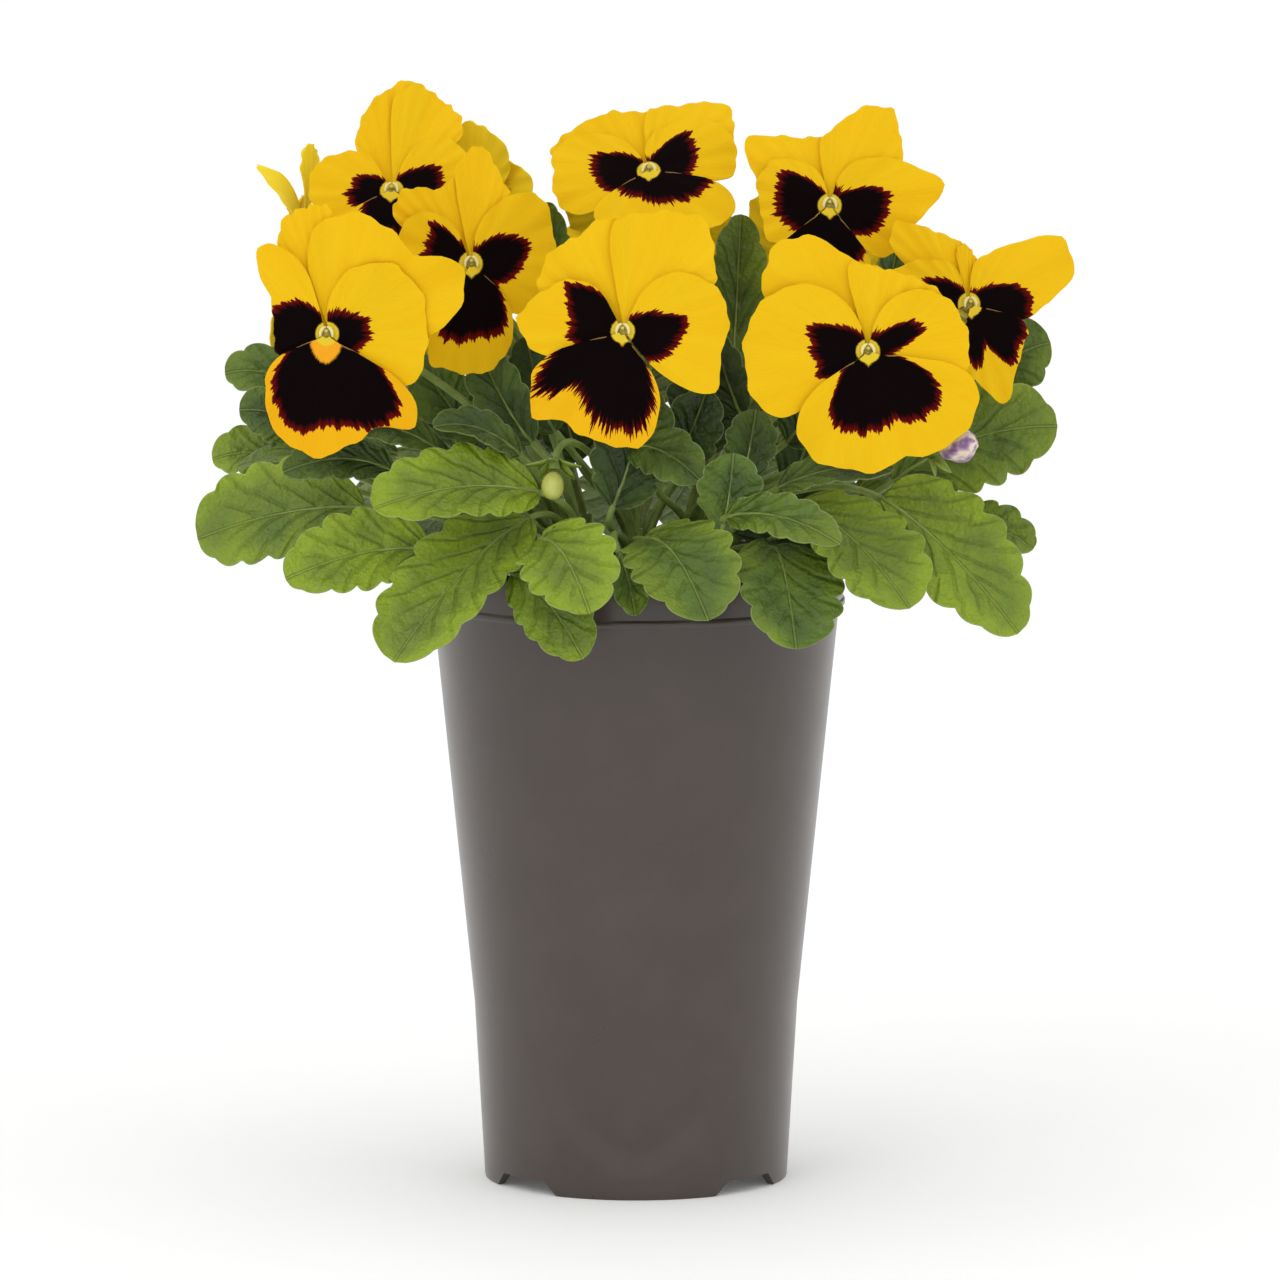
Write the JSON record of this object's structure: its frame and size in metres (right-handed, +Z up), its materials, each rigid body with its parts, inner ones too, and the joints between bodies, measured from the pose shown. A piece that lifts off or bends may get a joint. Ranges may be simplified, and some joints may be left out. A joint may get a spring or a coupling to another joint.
{
  "type": "potted pansy planter",
  "caption": "Tall round plastic pot of compost with a bushy pansy: toothed green leaves on short stems, and large yellow blooms with dark blotches.",
  "frame": {"origin": "on the ground under the middle of the pot, on the pot's axis", "axes": "+Z up along the pot's axis, -Y towards the front of the plant, as in the picture, and +X to the viewer's right"},
  "size_m": [0.275, 0.2062, 0.3451],
  "materials": {
    "pot": "smooth moulded dark grey-brown plastic, satin",
    "soil": "dark moist compost with crumbs and fibres, matt",
    "foliage": "fresh green leaves and stems, satin above and paler below",
    "petals": "velvety yellow petals with near-black maroon blotches, matt",
    "spent_petals": "withered purple and straw petals, matt",
    "seed_pod": "smooth yellow-green pod, satin"
  },
  "bodies": {
    "root": {"pot": "pot", "soil": "soil", "stem_front": "foliage", "stem_front_right": "foliage", "stem_right": "foliage", "stem_back_right": "foliage", "stem_back": "foliage", "stem_back_left": "foliage", "stem_left": "foliage", "stem_front_left": "foliage", "stem_middle": "foliage", "bloom_a": "petals", "bloom_b": "petals", "bloom_c": "petals", "bloom_d": "petals", "bloom_e": "petals", "bloom_f": "petals", "bloom_g": "petals", "bloom_h": "petals", "bloom_i": "petals", "bloom_j": "petals", "bloom_m": "petals", "bloom_n": "petals", "bloom_o": "petals", "bloom_p": "petals", "bloom_q": "petals", "bloom_r": "petals", "spent_bloom": "spent_petals", "seed_pod": "seed_pod"}
  },
  "joints": []
}
